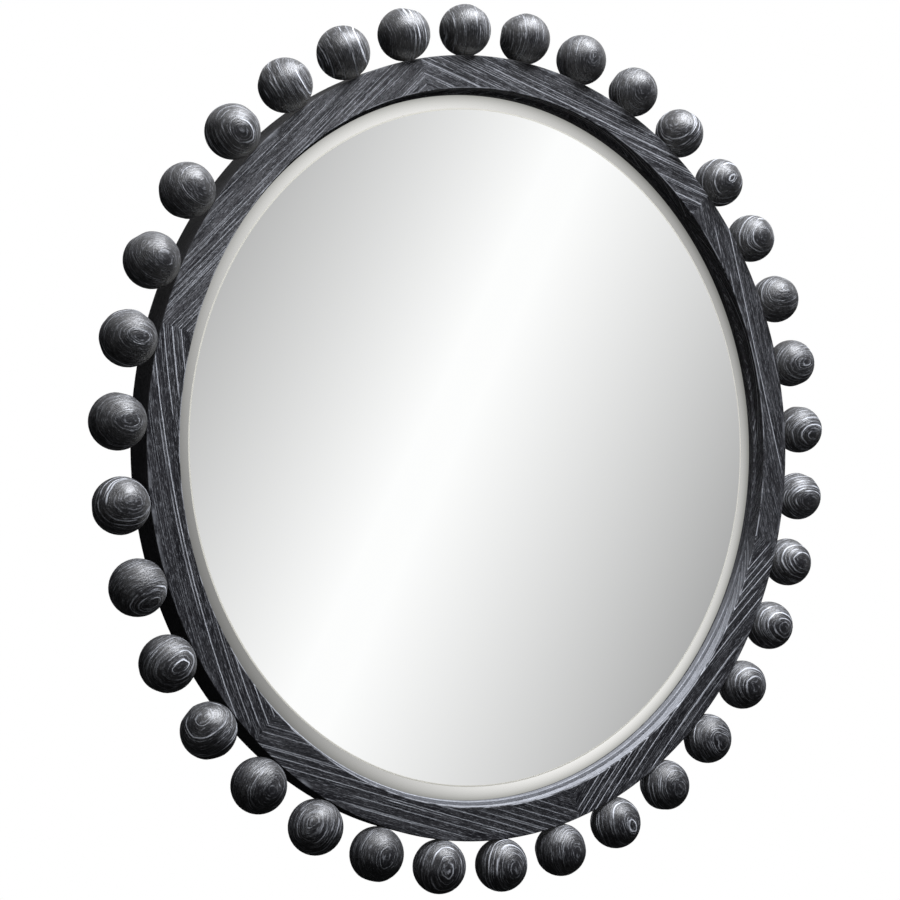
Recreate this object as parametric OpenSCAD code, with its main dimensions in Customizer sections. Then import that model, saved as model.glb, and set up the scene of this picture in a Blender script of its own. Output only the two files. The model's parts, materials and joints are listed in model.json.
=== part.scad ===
// Round wall mirror in a wooden frame with a ring of turned balls.
// The frame is two glued rings, each of mitred planks, with their joints staggered.
// The front ring's opening is a little wider than the rear ring's, so a ledge shows
// round the bevelled glass, and each ball is dowelled to the edge of the front ring.
// The origin is on the wall, behind the middle of the mirror. +Y points into the wall,
// +Z points up, and the front looks along -Y.

/* [Frame] */
// Radius of the front ring's opening
opening_r = 435.5; // [300:0.5:560]
// Width of the front ring, from its opening to its outer wall
ring_w = 40.5; // [36:0.5:70]
// Thickness of the front ring
front_t = 14; // [13:0.5:24]
// Thickness of the rear ring
rear_t = 27; // [24:0.5:40]
// How far the rear ring shows inside the front one
ledge_w = 5; // [1:0.5:8]
// Rounding of the edges that a hand can reach
ease_r = 1.2; // [0.4:0.1:2.5]

/* [Planks] */
// Planks in each ring
plank_count = 6; // [4:1:6]
// Direction of the first joint of the front ring, from +X towards +Z
joint_turn = 44; // [-30:1:60]
// Diameter of the pins across the front ring's joints
front_pin_d = 6; // [4:0.5:8]
// Diameter of the pins across the rear ring's joints
rear_pin_d = 8; // [4:0.5:10]
// Length of the pins across the joints
joint_pin_len = 40; // [20:1:50]
// Distance from the front ring's opening to the middle of its joint pins
front_pin_inset = 9.5; // [7:0.5:12]

/* [Balls] */
// Number of balls round the frame
ball_count = 35; // [24:1:35]
// Diameter of a ball
ball_d = 63.5; // [40:0.5:80]
// Diameter of the flat that seats a ball on the frame
ball_seat_d = 11; // [9:0.5:12]
// Diameter of the dowel that holds a ball
ball_dowel_d = 8; // [5:0.5:8]
// Depth of the dowel's hole in the ball
hole_in_ball = 20; // [10:1:30]
// Depth of the dowel's hole in the frame
hole_in_frame = 20; // [10:1:22]

/* [Glass and back] */
// Thickness of the glass
glass_t = 5; // [4:0.5:6]
// Width of the bevel
bevel_w = 25; // [12:1:38]
// How much thinner the glass is at its edge
bevel_drop = 2.4; // [1:0.1:3]
// How far the rear ring's lip covers the edge of the glass
lip_cover = 7.9; // [5:0.1:10]
// Thickness of that lip
lip_t = 9.5; // [6:0.5:11]
// Room round the edge of the glass
glass_room = 1.6; // [1:0.1:3]
// Thickness of the foam tape between the glass and the backing board
tape_t = 2; // [1:0.5:3]
// Width of a strip of that tape
tape_w = 25; // [12:1:50]
// Thickness of the backing board
board_t = 9; // [6:0.5:10]
// Width of the ledge that the backing board is screwed to
board_ledge_w = 12; // [10:0.5:14]
// Room round the edge of the backing board
board_room = 0.8; // [0.3:0.1:2]
// Number of screws in the backing board
board_screw_count = 12; // [6:1:24]
// Length of those screws
board_screw_len = 20; // [16:1:22]
// Diameter of all the screws' shanks
screw_d = 3.5; // [2.5:0.1:4]

/* [Hangers] */
// How far above the horizontal the two hangers sit, in degrees round the ring
hanger_turn = 22; // [0:1:22]
// Width of a hanger's strap
strap_w = 12; // [8:0.5:13]
// Thickness of the strap
strap_t = 1.2; // [0.8:0.1:1.6]
// Diameter of the ring's wire
wire_d = 2.5; // [2:0.1:3]
// Width inside the ring
loop_w = 16; // [16:0.5:30]
// Length inside the ring
loop_len = 19; // [17:0.5:24]
// Length of the screws in the straps
strap_screw_len = 16; // [10:1:20]
// Diameter of a wall bumper
bumper_d = 12; // [8:0.5:20]
// Thickness of a wall bumper
bumper_t = 5.5; // [5.5:0.5:12]

/* [Hidden] */
// Fits: a glued dowel, a screw in its pilot hole, and the ring's wire in its knuckle
glue_gap = 0.05;
thread_gap = 0.05;
wire_gap = 0.08;
// Air left at the end of a hole, between two seated pieces and past a cut
end_gap = 0.5;
seat_gap = 0.15;
past = 1;
round_fn = 96;
fine_fn = 48;

// Heights above the wall of the planes that the frame is built on
back_h = bumper_t;
joint_h = back_h + rear_t;
front_h = joint_h + front_t;
ball_h = joint_h + front_t / 2;
lip_h = joint_h - lip_t;

// Radii, from the outside in
rim_r = opening_r + ring_w;
inner_r = opening_r - ledge_w;
glass_r = inner_r + lip_cover;
pocket_r = glass_r + glass_room;
rabbet_r = pocket_r + board_ledge_w;
board_r = rabbet_r - board_room;
flat_r = glass_r - bevel_w;

// The glass: its bevel all but touches the back corner of the lip
bevel_at_lip = bevel_drop * max(0, inner_r - flat_r) / bevel_w;
glass_front_h = lip_h - seat_gap + bevel_at_lip;
glass_back_h = glass_front_h - glass_t;
board_front_h = glass_back_h - tape_t;
board_back_h = board_front_h - board_t;

// Balls, clockwise from the first one left of the top, with one ball straight down
seat_off = sqrt(pow(ball_d, 2) - pow(ball_seat_d, 2)) / 2;
ball_ring_r = rim_r + seat_off;
function ball_turn(i) = 90 + (0.5 - (i - 1)) * 360 / ball_count;

// Planks and the pins across their joints
plank_turn = 360 / plank_count;
front_pin_r = opening_r + front_pin_inset;
band_r = (rabbet_r + rim_r) / 2;
rear_pin_h = (back_h + joint_h) / 2;
function front_joint(k) = joint_turn + (k - 1) * plank_turn;
function rear_joint(k) = front_joint(k) - plank_turn / 2;
function turn_between(a, b) = abs(a - b - 360 * round((a - b) / 360));

// Screws
board_screw_r = (pocket_r + rabbet_r) / 2;
sunk_head_d = 2 * screw_d;
sunk_head_t = screw_d / 2;
pan_head_d = 6;
pan_head_t = 1.8;
pan_edge_t = 0.8;

// Hangers: the ring hangs down round the strap's upper screw, clear of its head
knuckle_r = wire_d / 2 + wire_gap + strap_t;
head_room = 1;
loop_end = wire_d / 2 + loop_len;
upper_screw = loop_end - head_room - pan_head_d / 2;
lower_screw = loop_end + wire_d + head_room + pan_head_d / 2;
strap_tail = 2;
strap_len = lower_screw + pan_head_d / 2 + strap_tail;
bend_r = wire_d;
leg_x = (loop_w + wire_d) / 2;
hanger_x = band_r * cos(hanger_turn);
hanger_up = band_r * sin(hanger_turn) + (strap_len - knuckle_r) / 2;
bumper_turns = [45, 135, 225, 315];
bumper_ease = 0.8;

// Strips of tape, the outer ones clear of the bevel
tape_rows = 2;
tape_share = 0.92;
tape_reach = flat_r * tape_share;
tape_pitch = tape_reach / (tape_rows + 0.5);

black_wood = [0.21, 0.21, 0.23];
black_side = [0.13, 0.13, 0.14];
raw_wood = [0.72, 0.58, 0.40];
brown_board = [0.48, 0.36, 0.24];
silver_glass = [0.80, 0.82, 0.82];
white_foam = [0.90, 0.90, 0.88];
zinc = [0.74, 0.74, 0.76];
grey_rubber = [0.35, 0.35, 0.36];

function two_digits(i) = i < 10 ? str("0", i) : str(i);
function ball_name(i) = str("ball_", two_digits(i));
function front_name(k) = str("front_plank_", k);
function rear_name(k) = str("rear_plank_", k);

// Everything below is drawn lying on its back, with Z as the height above the wall.
// This stands it up against the wall.
module hung() {
    rotate([90, 0, 0]) children();
}

// A rectangle from radius r0 to r1 and height h0 to h1, with the corners that are named
// by their signs in the list rounded: [1, 1] is the outer corner at the front
module eased_section(r0, r1, h0, h1, e, corners) {
    difference() {
        translate([r0, h0]) square([r1 - r0, h1 - h0]);
        for (c = corners) {
            edge_r = c[0] > 0 ? r1 : r0;
            edge_h = c[1] > 0 ? h1 : h0;
            translate([edge_r, edge_h])
                difference() {
                    square(2 * e, center = true);
                    translate([-c[0] * e, -c[1] * e]) circle(r = e, $fn = fine_fn);
                }
        }
    }
}

// The hole of one ball's dowel in the frame
module frame_dowel_hole(i) {
    rotate([0, 0, ball_turn(i)])
        translate([rim_r, 0, ball_h])
            rotate([0, 90, 0])
                translate([0, 0, -hole_in_frame])
                    cylinder(d = ball_dowel_d + 2 * glue_gap, h = hole_in_frame + past, $fn = fine_fn);
}

// A rod that lies across the joint at this turn, square to the radius
module across_joint(turn, r, h, d, len) {
    rotate([0, 0, turn])
        translate([r, 0, h])
            rotate([90, 0, 0]) cylinder(d = d, h = len, center = true, $fn = fine_fn);
}

module front_section() {
    eased_section(opening_r, rim_r, joint_h, front_h, ease_r, [[1, 1], [-1, 1]]);
}

module rear_section() {
    difference() {
        eased_section(inner_r, rim_r, back_h, joint_h, ease_r, [[-1, 1], [1, -1]]);
        translate([inner_r - past, 0]) square([pocket_r - inner_r + past, lip_h]);
        translate([inner_r - past, 0]) square([rabbet_r - inner_r + past, board_front_h]);
    }
}

module front_plank(k) {
    color(black_wood)
        hung()
            difference() {
                rotate([0, 0, front_joint(k)])
                    rotate_extrude(angle = plank_turn, $fn = round_fn) front_section();
                for (i = [1 : ball_count])
                    if (turn_between(ball_turn(i), front_joint(k) + plank_turn / 2)
                        < plank_turn / 2 + asin(ball_dowel_d / rim_r))
                        frame_dowel_hole(i);
                for (end = [k, k + 1])
                    across_joint(front_joint(end), front_pin_r, ball_h, front_pin_d + 2 * glue_gap,
                                 joint_pin_len);
            }
}

module rear_plank(k) {
    color(black_side)
        hung()
            difference() {
                rotate([0, 0, rear_joint(k)])
                    rotate_extrude(angle = plank_turn, $fn = round_fn) rear_section();
                for (end = [k, k + 1])
                    across_joint(rear_joint(end), band_r, rear_pin_h, rear_pin_d + 2 * glue_gap,
                                 joint_pin_len);
                for (s = [1 : board_screw_count])
                    if (turn_between(board_screw_turn(s), rear_joint(k) + plank_turn / 2)
                        < plank_turn / 2 + asin(screw_d / board_screw_r))
                        board_screw_place(s)
                            translate([0, 0, -board_screw_len])
                                cylinder(d = screw_d + 2 * thread_gap, h = board_screw_len, $fn = fine_fn);
                for (side = [-1, 1])
                    strap_screw_places(side)
                        translate([0, 0, -strap_screw_len])
                            cylinder(d = screw_d + 2 * thread_gap, h = strap_screw_len, $fn = fine_fn);
            }
}

// One ball, turned about its own dowel. Its seat faces the middle of the mirror.
module ball(i) {
    color(black_wood)
        hung()
            rotate([0, 0, ball_turn(i)])
                translate([ball_ring_r, 0, ball_h])
                    rotate([0, -90, 0])
                        difference() {
                            sphere(d = ball_d, $fn = round_fn);
                            translate([-ball_d / 2, -ball_d / 2, seat_off]) cube(ball_d);
                            translate([0, 0, seat_off - hole_in_ball])
                                cylinder(d = ball_dowel_d + 2 * glue_gap, h = hole_in_ball + past,
                                         $fn = fine_fn);
                        }
}

module ball_dowels() {
    color(raw_wood)
        hung()
            for (i = [1 : ball_count])
                rotate([0, 0, ball_turn(i)])
                    translate([rim_r - hole_in_frame + end_gap, 0, ball_h])
                        rotate([0, 90, 0])
                            cylinder(d = ball_dowel_d, $fn = fine_fn,
                                     h = hole_in_frame + hole_in_ball - 2 * end_gap);
}

module front_joint_pins() {
    color(raw_wood)
        hung()
            for (k = [1 : plank_count])
                across_joint(front_joint(k), front_pin_r, ball_h, front_pin_d, joint_pin_len - 2 * end_gap);
}

module rear_joint_pins() {
    color(raw_wood)
        hung()
            for (k = [1 : plank_count])
                across_joint(rear_joint(k), band_r, rear_pin_h, rear_pin_d, joint_pin_len - 2 * end_gap);
}

module mirror_glass() {
    color(silver_glass)
        hung()
            rotate_extrude($fn = round_fn)
                polygon([[0, glass_back_h], [glass_r, glass_back_h], [glass_r, glass_front_h - bevel_drop],
                         [flat_r, glass_front_h], [0, glass_front_h]]);
}

module glass_tape() {
    color(white_foam)
        hung()
            for (row = [-tape_rows : tape_rows]) {
                far_side = abs(row) * tape_pitch + tape_w / 2;
                half_len = sqrt(pow(tape_reach, 2) - pow(far_side, 2));
                translate([-half_len, row * tape_pitch - tape_w / 2, board_front_h])
                    cube([2 * half_len, tape_w, tape_t]);
            }
}

// Screws through the backing board: half a pitch away from the rear ring's first joint
function board_screw_turn(s) = rear_joint(1) + (s - 0.5) * 360 / board_screw_count;

// Puts a screw's own shape, with Z along it from its tip to its head, at the board's back
module board_screw_place(s) {
    rotate([0, 0, board_screw_turn(s)])
        translate([board_screw_r, 0, board_back_h])
            rotate([180, 0, 0]) children();
}

module sunk_screw(d, head_d, head_t, len) {
    translate([0, 0, -len]) cylinder(d = d, h = len, $fn = fine_fn);
    translate([0, 0, -head_t]) cylinder(d1 = d, d2 = head_d, h = head_t, $fn = fine_fn);
}

module backing_board() {
    color(brown_board)
        hung()
            difference() {
                translate([0, 0, board_back_h]) cylinder(r = board_r, h = board_t, $fn = round_fn);
                for (s = [1 : board_screw_count])
                    board_screw_place(s)
                        sunk_screw(screw_d + 2 * thread_gap, sunk_head_d + 2 * thread_gap,
                                   sunk_head_t + thread_gap, board_screw_len + past);
            }
}

module backing_screws() {
    color(zinc)
        hung()
            for (s = [1 : board_screw_count])
                board_screw_place(s)
                    sunk_screw(screw_d, sunk_head_d, sunk_head_t, board_screw_len - end_gap);
}

// The two hangers, right and left, with Y up from the knuckle's axis and Z into the wall
module hanger_place(side) {
    translate([side * hanger_x, hanger_up, back_h]) rotate([0, 180, 0]) children();
}

// Both screws of one strap, with Z along a screw from its tip to the seat of its head
module strap_screw_places(side) {
    hanger_place(side)
        for (drop = [upper_screw, lower_screw])
            translate([0, -drop, 0]) children();
}

// Side plan of the strap: a flat plate with its upper end rolled round the ring's wire
module hanger_strap(side) {
    color(zinc)
        hung()
            hanger_place(side)
                difference() {
                    union() {
                        translate([-strap_w / 2, -strap_len, 0]) cube([strap_w, strap_len, strap_t]);
                        translate([0, 0, knuckle_r])
                            rotate([0, 90, 0])
                                cylinder(r = knuckle_r, h = strap_w, center = true, $fn = fine_fn);
                    }
                    translate([0, 0, knuckle_r])
                        rotate([0, 90, 0])
                            cylinder(d = wire_d + 2 * wire_gap, h = strap_w + 2 * past, center = true,
                                     $fn = fine_fn);
                    for (drop = [upper_screw, lower_screw])
                        translate([0, -drop, -past])
                            cylinder(d = screw_d + 2 * thread_gap, h = strap_t + 2 * past, $fn = fine_fn);
                }
}

// Ring of bent wire: a straight bar through the knuckle, two legs and a half round
module hanger_ring(side) {
    color(zinc)
        hung()
            hanger_place(side)
                translate([0, 0, knuckle_r]) {
                    rotate([0, 90, 0])
                        cylinder(d = wire_d, h = 2 * (leg_x - bend_r), center = true, $fn = fine_fn);
                    for (s = [-1, 1]) {
                        translate([s * (leg_x - bend_r), -bend_r, 0])
                            rotate([0, 0, s > 0 ? 0 : 90])
                                rotate_extrude(angle = 90, $fn = round_fn)
                                    translate([bend_r, 0]) circle(d = wire_d, $fn = fine_fn);
                        translate([s * leg_x, -bend_r, 0])
                            rotate([90, 0, 0])
                                cylinder(d = wire_d, h = loop_end - loop_w / 2 - bend_r, $fn = fine_fn);
                    }
                    translate([0, loop_w / 2 - loop_end, 0])
                        rotate([0, 0, 180])
                            rotate_extrude(angle = 180, $fn = round_fn)
                                translate([leg_x, 0]) circle(d = wire_d, $fn = fine_fn);
                }
}

// Pan-headed screws: a shank, a short straight edge and a low round-shouldered top
module hanger_screws() {
    color(zinc)
        hung()
            for (side = [-1, 1])
                strap_screw_places(side) {
                    translate([0, 0, end_gap - strap_screw_len])
                        cylinder(d = screw_d, h = strap_screw_len - end_gap + strap_t, $fn = fine_fn);
                    translate([0, 0, strap_t]) cylinder(d = pan_head_d, h = pan_edge_t, $fn = fine_fn);
                    translate([0, 0, strap_t + pan_edge_t])
                        cylinder(d1 = pan_head_d, d2 = pan_head_d / 2, h = pan_head_t - pan_edge_t,
                                 $fn = fine_fn);
                }
}

module wall_bumpers() {
    color(grey_rubber)
        hung()
            for (turn = bumper_turns)
                rotate([0, 0, turn])
                    translate([band_r, 0, 0])
                        rotate_extrude($fn = fine_fn)
                            polygon([[0, 0], [bumper_d / 2 - bumper_ease, 0], [bumper_d / 2, bumper_ease],
                                     [bumper_d / 2, bumper_t], [0, bumper_t]]);
}

for (i = [1 : ball_count])
    ball(i);
for (k = [1 : plank_count])
    front_plank(k);
for (k = [1 : plank_count])
    rear_plank(k);
ball_dowels();
front_joint_pins();
rear_joint_pins();
mirror_glass();
glass_tape();
backing_board();
backing_screws();
hanger_strap(-1);  // hanger_strap_left
hanger_strap(1);  // hanger_strap_right
hanger_ring(-1);  // hanger_ring_left
hanger_ring(1);  // hanger_ring_right
hanger_screws();
wall_bumpers();
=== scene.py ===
# %% [markdown]
# # A round mirror in a ring of turned balls
#
# The real piece is a bevelled mirror in a wooden ring, with 35 turned balls dowelled to the ring's
# edge. The wood is stained black, and white wax is rubbed into its open grain. All sizes and places
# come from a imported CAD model, so this script only dresses it: it gives every piece its finish, and
# makes again, more finely, what a simple solid can't show. The frame is in metres. The wall is the
# plane y = 0, +Z points up, +X to the right, and the mirror looks towards -Y.

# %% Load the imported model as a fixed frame
import json
import math
import random

import bmesh
import bpy
from mathutils import Matrix, Vector

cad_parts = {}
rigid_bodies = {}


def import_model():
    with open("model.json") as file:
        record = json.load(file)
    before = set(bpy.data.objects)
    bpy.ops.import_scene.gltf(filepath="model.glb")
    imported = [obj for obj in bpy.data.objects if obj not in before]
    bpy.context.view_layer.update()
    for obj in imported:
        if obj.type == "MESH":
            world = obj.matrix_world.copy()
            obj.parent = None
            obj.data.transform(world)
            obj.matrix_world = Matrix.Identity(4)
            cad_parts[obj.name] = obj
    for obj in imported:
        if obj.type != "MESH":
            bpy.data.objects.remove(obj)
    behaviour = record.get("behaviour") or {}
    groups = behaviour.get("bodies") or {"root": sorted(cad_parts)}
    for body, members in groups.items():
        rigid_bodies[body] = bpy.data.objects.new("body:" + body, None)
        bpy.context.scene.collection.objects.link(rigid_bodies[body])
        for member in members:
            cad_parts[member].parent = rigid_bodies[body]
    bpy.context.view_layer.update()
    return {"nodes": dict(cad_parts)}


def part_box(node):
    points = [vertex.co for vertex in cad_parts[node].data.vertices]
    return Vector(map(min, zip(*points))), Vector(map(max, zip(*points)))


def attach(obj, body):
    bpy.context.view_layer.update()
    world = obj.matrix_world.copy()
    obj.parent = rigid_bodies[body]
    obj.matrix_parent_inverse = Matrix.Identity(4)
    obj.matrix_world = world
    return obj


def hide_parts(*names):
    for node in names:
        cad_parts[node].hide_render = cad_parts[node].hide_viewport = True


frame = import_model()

# %% [markdown]
# ## The view
#
# A photograph of a round thing taken from one side shows an ellipse, so the camera's place can be
# worked out from it. Here it stands 2.5 m away, about 35 degrees to the left of square on, level
# with the middle of the mirror. A long lens keeps the near balls only a little larger than the far
# ones. The picture was trimmed more at one edge than at the other, which a small lens shift
# repeats. The camera is made from the direction that it looks in and the direction that is up in
# the picture.

# %% The camera
CAMERA_PLACE = Vector((-1.4278, -2.0004, -0.0386))
CAMERA_LOOKS = Vector((0.5629, 0.8249, 0.0514)).normalized()
CAMERA_UP = Vector((-0.0243, -0.0456, 0.9987))
LENS_MM = 79.4
LENS_SHIFT = (0.0144, -0.0841)


def set_camera():
    lens = bpy.data.cameras.new("view")
    lens.lens = LENS_MM
    lens.sensor_width = 36.0
    lens.shift_x, lens.shift_y = LENS_SHIFT
    right = CAMERA_LOOKS.cross(CAMERA_UP).normalized()
    up = right.cross(CAMERA_LOOKS)
    camera = bpy.data.objects.new("view", lens)
    axes = Matrix((right, up, -CAMERA_LOOKS)).transposed()
    camera.matrix_world = Matrix.Translation(CAMERA_PLACE) @ axes.to_4x4()
    bpy.context.scene.collection.objects.link(camera)
    bpy.context.scene.camera = camera
    return camera


view = set_camera()
print("camera", [round(v, 3) for v in view.matrix_world.translation], "lens", LENS_MM, "mm")

# %% [markdown]
# ## Writing a finish as a sum
#
# A procedural finish is a web of small nodes. Placing each by hand hides what the web works out, so
# the two classes below let a finish be written as an expression: Num wraps a socket that carries a
# number, and adding or multiplying two of them adds the Math node that does it. Every other node
# comes from one method, which takes its type, its settings and what its sockets hold.

# %% A number on a socket
class Num:
    """A socket that carries a number."""

    def __init__(self, finish, socket):
        self.finish = finish
        self.socket = socket

    def __add__(self, other):
        return self.finish.math("ADD", self, other)

    def __sub__(self, other):
        return self.finish.math("SUBTRACT", self, other)

    def __rsub__(self, other):
        return self.finish.math("SUBTRACT", other, self)

    def __mul__(self, other):
        return self.finish.math("MULTIPLY", self, other)

    def __truediv__(self, other):
        return self.finish.math("DIVIDE", self, other)

    __radd__ = __add__
    __rmul__ = __mul__


# %% A web of nodes
class Finish:
    """The nodes of one material, or of the world."""

    def __init__(self, holder):
        holder.use_nodes = True
        self.holder = holder
        self.nodes = holder.node_tree.nodes
        self.links = holder.node_tree.links
        self.nodes.clear()

    def put(self, socket, value):
        source = value.socket if isinstance(value, Num) else value
        if isinstance(source, bpy.types.NodeSocket):
            self.links.new(source, socket)
        else:
            socket.default_value = source

    def node(self, kind, settings=None, sockets=None):
        """Adds a node: first its settings, then the values or links of its sockets."""
        made = self.nodes.new(kind)
        for key, value in (settings or {}).items():
            setattr(made, key, value)
        for key, value in (sockets or {}).items():
            self.put(made.inputs[key], value)
        return made

    def math(self, operation, *values):
        made = self.node("ShaderNodeMath", {"operation": operation}, dict(enumerate(values)))
        return Num(self, made.outputs[0])

    def vector(self, x, y, z):
        return self.node("ShaderNodeCombineXYZ", {}, {"X": x, "Y": y, "Z": z}).outputs[0]

    def split(self, vector):
        made = self.node("ShaderNodeSeparateXYZ", {}, {0: vector})
        return [Num(self, made.outputs[axis]) for axis in range(3)]

    def ease(self, value, start, end):
        """0 up to start, 1 from end on, and a smooth rise between them."""
        settings = {"interpolation_type": "SMOOTHSTEP"}
        sockets = {"Value": value, "From Min": start, "From Max": end}
        return Num(self, self.node("ShaderNodeMapRange", settings, sockets).outputs[0])

    def noise(self, vector, scale=1.0, detail=2.0):
        sockets = {"Vector": vector, "Scale": scale, "Detail": detail}
        return Num(self, self.node("ShaderNodeTexNoise", {}, sockets).outputs[0])

    def chance(self, number):
        """A number from 0 to 1 that jumps about: the same input always gives the same one."""
        settings = {"noise_dimensions": "1D"}
        return Num(self, self.node("ShaderNodeTexWhiteNoise", settings, {"W": number}).outputs[0])

    def mix(self, factor, first, second):
        settings = {"data_type": "RGBA"}
        sockets = {0: factor, 6: first, 7: second}
        return self.node("ShaderNodeMix", settings, sockets).outputs[2]

    def bump(self, height, depth, strength=1.0):
        sockets = {"Height": height, "Distance": depth, "Strength": strength}
        return self.node("ShaderNodeBump", {}, sockets).outputs[0]

    def coat(self, **sockets):
        """Closes a material: a Principled shader with these sockets, and the output."""
        named = {key.replace("_", " "): value for key, value in sockets.items()}
        shader = self.node("ShaderNodeBsdfPrincipled", {}, named)
        self.node("ShaderNodeOutputMaterial", {}, {"Surface": shader.outputs[0]})
        return self.holder


def new_finish(name):
    return Finish(bpy.data.materials.new(name))


# %% [markdown]
# ## White wax in black wood
#
# Coarse-grained wood such as ash or oak has a band of large open pores in each year's growth.
# Stained black and then rubbed with white wax, it shows a thin white line along each band, broken
# wherever the pores close up. So the pattern isn't painted on the surface: it is a field inside the
# block, measured across the years' growth, and the surface only cuts through it. Straight cuts show
# parallel lines and round ones show ovals, from the same few nodes. Lengths in these nodes are
# millimetres.

# %% Growth lines
YEAR_MARGIN = 0.2
PLACE_START = 0.37
STRENGTH_START = 17.7
RUN_PER_YEAR = 2.7
RUN_SHOWS = (0.40, 0.60)
THIN_START = 41.0


def growth_lines(finish, growth, along, through, look, seed, slant=1.0):
    """Where wax sits in the bands of open pores, from 0 to 1, for lines about look's spacing apart.

    slant: how fast growth changes along the surface, which keeps a line's width on a shallow cut.
    """
    years = growth / look["spacing"] + seed
    year = finish.math("FLOOR", years)
    place = finish.chance(year + PLACE_START) * (1.0 - 2.0 * YEAR_MARGIN) + YEAR_MARGIN
    gap = finish.math("ABSOLUTE", years - year - place) * look["spacing"] / slant
    body = 1.0 - finish.ease(gap, look["width"] * 0.25, look["width"])
    share = look["share"]
    strength = finish.ease(finish.chance(year + STRENGTH_START), 1.0 - share, 1.15 - 0.5 * share)
    length = look["run"]
    run = finish.noise(finish.vector(along / length, through / length, year * RUN_PER_YEAR + seed))
    return body * strength * finish.ease(run, *RUN_SHOWS)


LONG_LINE_FLANK = (0.2, 0.92)
LONG_LINE_FADE = 16.0


def long_line(finish, field, along, place, strength, start, end):
    """One line at its own place across the board, which fades in after start and out before end."""
    body = 1.0 - finish.ease(finish.math("ABSOLUTE", field - place), *LONG_LINE_FLANK)
    begun = finish.ease(along, start, start + LONG_LINE_FADE)
    ended = finish.ease(along, end - LONG_LINE_FADE, end)
    return body * (begun * (1.0 - ended)) * strength


# %% Marks with a length, a width and a depth
# How large each kind of mark is along, across and through the grain
BEND = (150, 45, 45)
KINK = (2.6, 2.6, 2.6)
PORE = (3.2, 0.5, 0.9)
WORN_PATCH = (60, 7, 14)
BRUSH_STROKE = (22, 0.7, 0.8)
SPECK = (2.4, 0.7, 0.7)


def marks(finish, place, size, detail=1.0, seed=0.0):
    """Noise around 0.5 with marks of that size, at a place along, across and through the grain."""
    along, across, through = [distance / length for distance, length in zip(place, size)]
    return finish.noise(finish.vector(along, across, through + seed), 1.0, detail)


# %% Wax, and the stain under it
def swayed(finish, along, growth, through, look, seed):
    """Growth, with the long bends, short waves and kinks that real years' growth has."""
    place = (along, growth, through)
    reach = look["reach"]
    slow = marks(finish, place, BEND, 1.0, seed) - 0.5
    quick = marks(finish, place, (reach, 0.45 * reach, 0.45 * reach), 1.0, seed) - 0.5
    rough = marks(finish, place, KINK) - 0.5
    return growth + slow * look["drift"] + quick * look["waver"] + rough * look["rough"]


def waxed_grain(finish, along, growth, through, look, seed, slant):
    """How much wax shows and how far the stain has worn, 0 to 1, with the pores and streaks."""
    field = swayed(finish, along, growth, through, look, seed)
    place = (along, field, through)
    bold = growth_lines(finish, field, along, through, look, seed, slant)
    thin = dict(look, spacing=look["thin_spacing"], width=look["thin_width"], share=0.85,
                run=look["run"] * 0.7)
    thin_seed = seed + THIN_START
    fine = growth_lines(finish, field, along, through, thin, thin_seed, slant) * look["thin"]
    for line in look.get("lines", ()):
        bold = finish.math("MAXIMUM", bold, long_line(finish, field, along, *line))
    streak = marks(finish, place, (look["stroke"], 0.9, 5), 3.0, seed)
    streaks = finish.ease(streak, 0.52, 0.72) * look["streaks"]
    pore = marks(finish, place, PORE)
    dashes = finish.ease(pore, 0.35, 0.62)
    solid = look["solid"]
    wax = finish.math("MAXIMUM", bold * (dashes * (1.0 - solid) + solid),
                      finish.math("MAXIMUM", fine, streaks) * (dashes * 0.7 + 0.3))
    patch = marks(finish, place, WORN_PATCH, 3.0, seed)
    worn = finish.ease(patch, 0.3, 0.72) * (dashes * 0.75 + 0.25)
    return wax, worn, pore, streak


# %% The wood's shader
STAIN_DARK = (0.006, 0.006, 0.008, 1.0)
STAIN_WORN = (0.060, 0.060, 0.065, 1.0)
# White wax, whose colour also paints the light on the opening's walls
WAX_AND_WALL_LIGHT = (0.62, 0.64, 0.69, 1.0)


def waxed_wood(finish, along, growth, through, look, seed, shown=1.0, smeared_wax_and_light=0.0, slant=1.0,
               dull=0.0):
    """Closes a wood's finish.

    shown: how far wax and wear show at all. smeared_wax_and_light: wax smeared over the grain, and
    painted light on the opening's walls.
    dull: 1 where the wood has no polish.
    """
    wax, worn, pore, streak = waxed_grain(finish, along, growth, through, look, seed, slant)
    stain = finish.mix(worn * look["worn"] * shown, STAIN_DARK, STAIN_WORN)
    white = finish.math("MAXIMUM", wax * look["wax"] * shown, smeared_wax_and_light)
    colour = finish.mix(white, stain, WAX_AND_WALL_LIGHT)
    bare = (1.0 - shown) * 0.3 + dull * 0.5
    roughness = wax * 0.18 + (pore - 0.5) * 0.2 + bare + look["satin"]
    height = pore * 0.5 - wax * 0.5 + streak * 1.4
    return finish.coat(
        Base_Color=colour, Roughness=roughness, Specular_IOR_Level=look["gloss"],
        Normal=finish.bump(height, look["relief"], 0.6))


# %% [markdown]
# ## The planks
#
# Each ring is six straight-grained planks, mitred and cut round. The lines therefore run straight
# along each plank, meet in a V at every joint and leave through the ring's curved edges. A Mapping
# node turns the frame's coordinates so that X runs along the plank and Z across it, which is all
# that differs between the six, apart from what each board is like: some are dense and even, and
# others plain with one long line. Growth rings lean in a board, so the walls show lines too.

# %% A plank's own grain
RIM_R = 476.0
OPENING_R = 435.5
LEDGE_R = 431.2
FRONT_H = 46.5
# Heights in mm over which the painted light on the opening's walls fades out, from the bottom up
WALLS_LIT_FROM_ABOVE = (-290.0, -90.0)
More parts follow.
